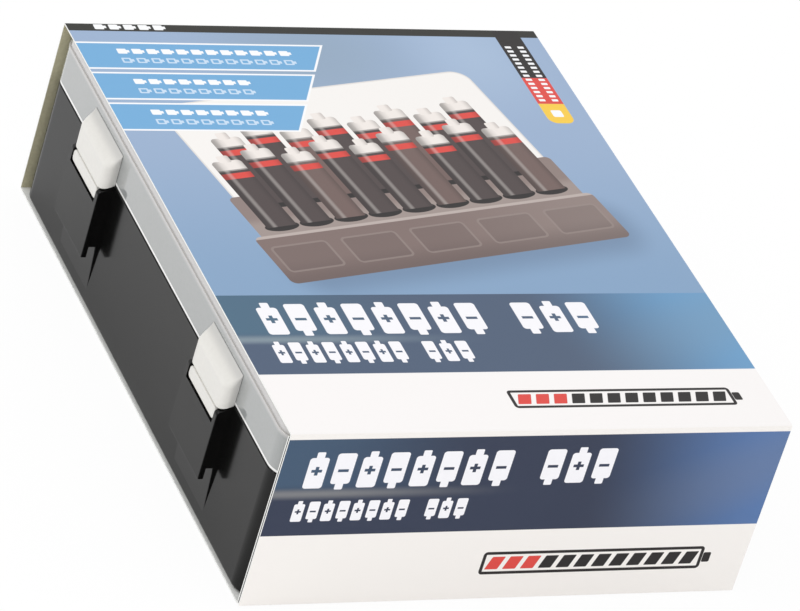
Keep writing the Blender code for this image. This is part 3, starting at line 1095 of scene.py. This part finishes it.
def cell_row(page, over, under, row):
    """A row of standing cells, every other one raised, each in a dark round opening."""
    count, shift, rise = row
    along = over + shift
    place = along.repeated(cell_pitch)
    raised = under + along.turn_taken(cell_pitch, 2) * cell_stagger + (cell_rise + rise)
    span = over.within(-count * cell_pitch / 2, count * cell_pitch / 2)
    foot = length_of(place / cell_foot[0], (under - tray_top_drop + rise) / cell_foot[1])
    page.lay(foot.ramp(*cell_foot_edge) * span, cell_black)

    cell = Print(page.tree, cell_dark)
    brown_turn = along.turn_taken(cell_pitch, cell_colour_turns).within(0.5, 1.5)
    cell.lay(brown_turn, cell_brown)
    cap_end = raised + (cell_box[1] - cell_cap)
    cell.lay((raised + cell_box[1]).within(*cell_stripe), red_ink)
    cell.lay(inside(cap_end), cell_silver)
    cell.lay(line_along(cap_end, cell_cap_line) * cell_cap_line_share, cell_black)
    cell.lay((place - cell_side_shift).size().ramp(*cell_side_fade) * cell_side_share, cell_black)
    cell.lay((place + cell_shine_shift).size().ramp(*cell_shine_fade) * cell_shine_share, cell_silver)
    above_foot = inside(under - tray_top_drop + rise)
    page.lay(box(place, raised & 0.0, cell_box) * above_foot * span, cell.colour)
    nub = box(place, raised + (cell_box[1] + cell_nub[1] / 2), cell_nub)
    page.lay(nub * span, cell_silver)
    page.lay(nub * span * place.ramp(*cell_nub_fade) * cell_nub_share, cell_grey)


def cell_picture(page, across, down):
    """A tilted picture of two rows of cells that stand in a tray, in front of a pale board."""
    turn = math.radians(picture_turn_deg)
    beside = (across - picture_middle[0]) / picture_scale
    below = (down - picture_middle[1]) / picture_scale
    over = beside * math.cos(turn) + below * math.sin(turn)
    under = below * math.cos(turn) - beside * math.sin(turn)
    shadow = box_distance(over - shadow_shift[0], under - shadow_shift[1], shadow_box)
    page.lay(shadow.ramp(*shadow_fade) * shadow_share, picture_shade)
    board_shape = box_distance(over, under + board_rise, board_box)
    page.lay(inside(board_shape), board_white)
    page.lay(line_along(board_shape, board_line) * board_line_share, cell_grey)

    ledge = Print(page.tree, tray_light)
    near, far = tray_top_fade
    ledge.lay(under.ramp(tray_top_drop - near, tray_top_drop - far) * tray_top_share, tray_brown)
    page.lay(box(over, under - tray_top_drop + back_row[2] / 2, tray_top), ledge.colour)
    cell_row(page, over, under, back_row)
    cell_row(page, over, under, front_row)

    front = Print(page.tree, tray_brown)
    lower = under.ramp(tray_front_drop, tray_front_drop + tray_front[1])
    front.lay(over.ramp(*tray_front_light) * tray_front_share, tray_light)
    front.lay(lower * tray_front_share, tray_dark)
    slot_place = (over + cell_pitch).repeated(cell_pitch * 2)
    slots = box_distance(slot_place, under - tray_front_drop, tray_slot)
    front.lay(inside(slots) * tray_slot_share, tray_dark)
    front.lay(line_along(slots, tray_slot_line) * tray_slot_line_share, tray_light)
    face = box_distance(over, under - tray_front_drop, tray_front)
    front.lay(inside(under - (tray_front_drop - tray_front[1] + tray_rim_line)), tray_rim_tone)
    page.lay(inside(face), front.colour)


def band_colours(tree, across, share, tones):
    """A slate band that turns blue at its right end, with a light streak over its darker lower left part."""
    slate, left, right, streak = tones
    band = Print(tree, slate)
    upper = share.ramp(band_low_share[1], band_low_share[0])
    band.lay(upper * across.ramp(band_left_end, 0.0), left)
    leaning = across - share * band_lean
    band.lay(leaning.ramp(band_right_start, band_right_end), right)
    along, up = band_swirl_pitches
    swirl = (share * along + across * up).math("SINE") * across.ramp(band_right_start, band_right_end)
    band.lay((swirl * band_swirl_strength) | 0.0, streak)
    beam = (share - band_streak_share).size().ramp(band_streak_half_share, 0.0)
    band.lay(beam * across.ramp(*band_streak_reach) * band_streak_strength, streak)
    return band.colour


def front_layers(page, across, down, mask):
    """What the front panel shows, laid where the mask is 1."""
    panel = Print(page.tree, front_white)
    share = (down - front_band[0]) / (front_band[1] - front_band[0])
    panel.lay(down.within(*front_band), band_colours(page.tree, across, share, front_band_tones))
    title(panel, across, down, front_title_place, front_title_scale)
    title(panel, across, down, front_small_place, front_small_scale)
    charge_bar(panel, across - front_bar_place[0], down - front_bar_place[1])
    page.lay(mask, panel.colour)


def printed(name):
    """A sleeve material with the coated board's gloss, and a function that gives it its finished print."""
    material, tree, shader = new_material(name, roughness=0.42, Specular_IOR_Level=0.3)
    grain(tree, shader, scale=2500.0, strength=0.04, depth=print_grain_depth)

    def finished(page):
        tree.links.new(page.colour, shader.inputs["Base Color"])
        return material

    return tree, finished


def print_material():
    """The printed side of the top and front panels."""
    tree, finished = printed("sleeve_print")
    across, behind, drop = print_places(tree)
    down = behind + drop
    deep = (sleeve_high.y - sleeve_low.y) * per_metre
    page = Print(tree, picture_blue)
    page.lay(down.ramp(*low_blue_reach), picture_low_blue)
    haze = length_of(across - haze_middle[0], down - haze_middle[1])
    page.lay(haze.ramp(*haze_fade) * haze_share, picture_grey_blue)
    glow = length_of(across - glow_middle[0], (down - glow_middle[1]) * glow_height_scale)
    page.lay(glow.ramp(*glow_fade) * glow_share, pale_blue)
    page.lay(down.within(*dark_strip), strip_dark)
    strip_down = down - dark_strip[1] / 2
    page.lay(lying_cells(across - strip_row_start, strip_down, strip_row_count, False), white_ink)
    cell_picture(page, across, down)
    label_boxes(page, across, down)
    corner_tag(page, across, down)
    share = (down - top_band[0]) / (top_band[1] - top_band[0])
    page.lay(down.within(*top_band), band_colours(tree, across, share, top_band_tones))
    title(page, across, down, top_title_place, top_title_scale)
    title(page, across, down, top_small_place, top_small_scale)
    page.lay(inside(-down + top_band[1]), top_white)
    charge_bar(page, across - top_bar_place[0], down - top_bar_place[1])
    front_layers(page, across, down - deep, inside(-down + deep))
    return finished(page)


def back_material():
    """The printed side of the back panel: the front panel's print, read from behind."""
    tree, finished = printed("sleeve_back_print")
    across, _, drop = print_places(tree)
    wide = (sleeve_high.x - sleeve_low.x) * per_metre
    page = Print(tree, front_white)
    front_layers(page, -across + wide, drop, inside(-drop))
    return finished(page)


def bottom_material():
    """The underside: white, with a few plain grey bars and a row of cells."""
    tree, finished = printed("sleeve_bottom_print")
    across, behind, _ = print_places(tree)
    wide = (sleeve_high.x - sleeve_low.x) * per_metre
    page = Print(tree, front_white)
    rows = box(across - wide / 2, behind.repeated(bottom_row_pitch), bottom_row)
    page.lay(rows * behind.within(*bottom_rows_end), bottom_grey)
    page.lay(upright_cells(across - bottom_sign_place[0], behind - bottom_sign_place[1]), bottom_grey)
    return finished(page)


def make_stage():
    """A white floor that keeps the object's shadow, and a white surround."""
    bpy.ops.mesh.primitive_plane_add(size=floor_size, location=(0, 0, -floor_drop))
    floor = bpy.context.object
    floor.name = "floor"
    material, tree, shader = new_material("white_floor", 1.0)
    shader.inputs["Base Color"].default_value = (floor_white, floor_white, floor_white, 1.0)
    output = tree.nodes["Material Output"]
    glow = tree.nodes.new("ShaderNodeEmission")
    path = tree.nodes.new("ShaderNodeLightPath")
    straight = Field(tree, path.outputs["Is Camera Ray"]) * floor_seen_share
    bounced = Field(tree, path.outputs["Is Glossy Ray"]) | Field(tree, path.outputs["Is Transmission Ray"])
    mix = tree.nodes.new("ShaderNodeMixShader")
    tree.links.new((straight | bounced * floor_mirrored_share).source, mix.inputs[0])
    tree.links.new(shader.outputs[0], mix.inputs[1])
    tree.links.new(glow.outputs[0], mix.inputs[2])
    tree.links.new(mix.outputs[0], output.inputs["Surface"])
    floor.data.materials.append(material)

    world = bpy.data.worlds.new("surround")
    bpy.context.scene.world = world
    world.use_nodes = True
    tree = world.node_tree
    background = tree.nodes["Background"]
    background.inputs["Color"].default_value = (1.0, 1.0, 1.0, 1.0)
    path = tree.nodes.new("ShaderNodeLightPath")
    seen = Field(tree, path.outputs["Is Camera Ray"]) | Field(tree, path.outputs["Is Glossy Ray"])
    seen = seen | Field(tree, path.outputs["Is Transmission Ray"])
    strength = seen * (1.0 - surround_strength) + surround_strength
    tree.links.new(strength.source, background.inputs["Strength"])


def add_lamp(name, place, target, size, power):
    lamp = bpy.data.lights.new(name, "AREA")
    lamp.shape = "DISK"
    lamp.size = size
    lamp.energy = power
    holder = bpy.data.objects.new(name, lamp)
    holder.location = place
    holder.rotation_mode = "QUATERNION"
    holder.rotation_quaternion = (Vector(target) - Vector(place)).to_track_quat("-Z", "Y")
    bpy.context.scene.collection.objects.link(holder)


bpy.context.scene.view_settings.view_transform = "Standard"
place_camera()
make_stage()
add_lamp("key", key_place, lamp_target, key_size, key_power)
add_lamp("fill", fill_place, lamp_target, fill_size, fill_power)

base_black = moulded(
    "base_plastic", *base_tones, roughness=0.16, scale=60.0, strength=0.01, Specular_IOR_Level=0.26
)
tray_grey = moulded("tray_plastic", *grey_tones, roughness=0.5, scale=700.0, strength=0.08)
pin_grey = moulded("pin_plastic", *grey_tones, roughness=0.4, scale=700.0, strength=0.05)
raw_inside = plain_board("board_inside", *raw_inside_tones)
# Dark board as painted shade in the gap between flap and front panel
gap_shade_board = plain_board("board_gap_shade", *gap_shade_tones)
raw_edge = plain_board("board_edge", *raw_edge_tones)

base = make_base()
dress(base, base_black)
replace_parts(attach(base, "box"), "base_shell")

lid = make_lid()
dress(lid, frosted_lid())
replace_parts(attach(lid, "box"), "lid_shell")

latch_finish = milky_latch()
for side_name in stations:
    latch_piece = make_latch(side_name)
    dress(latch_piece, latch_finish)
    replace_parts(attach(latch_piece, "latch_" + side_name), "latch_" + side_name)

prints = (bottom_material(), back_material(), print_material())
sleeve_piece = make_sleeve((*prints, raw_inside, raw_edge, gap_shade_board))
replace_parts(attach(sleeve_piece, "sleeve"), "sleeve_board")

dress(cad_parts["cell_tray"], tray_grey)
for side_name in hinge_stations:
    dress(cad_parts["hinge_pin_" + side_name], pin_grey)
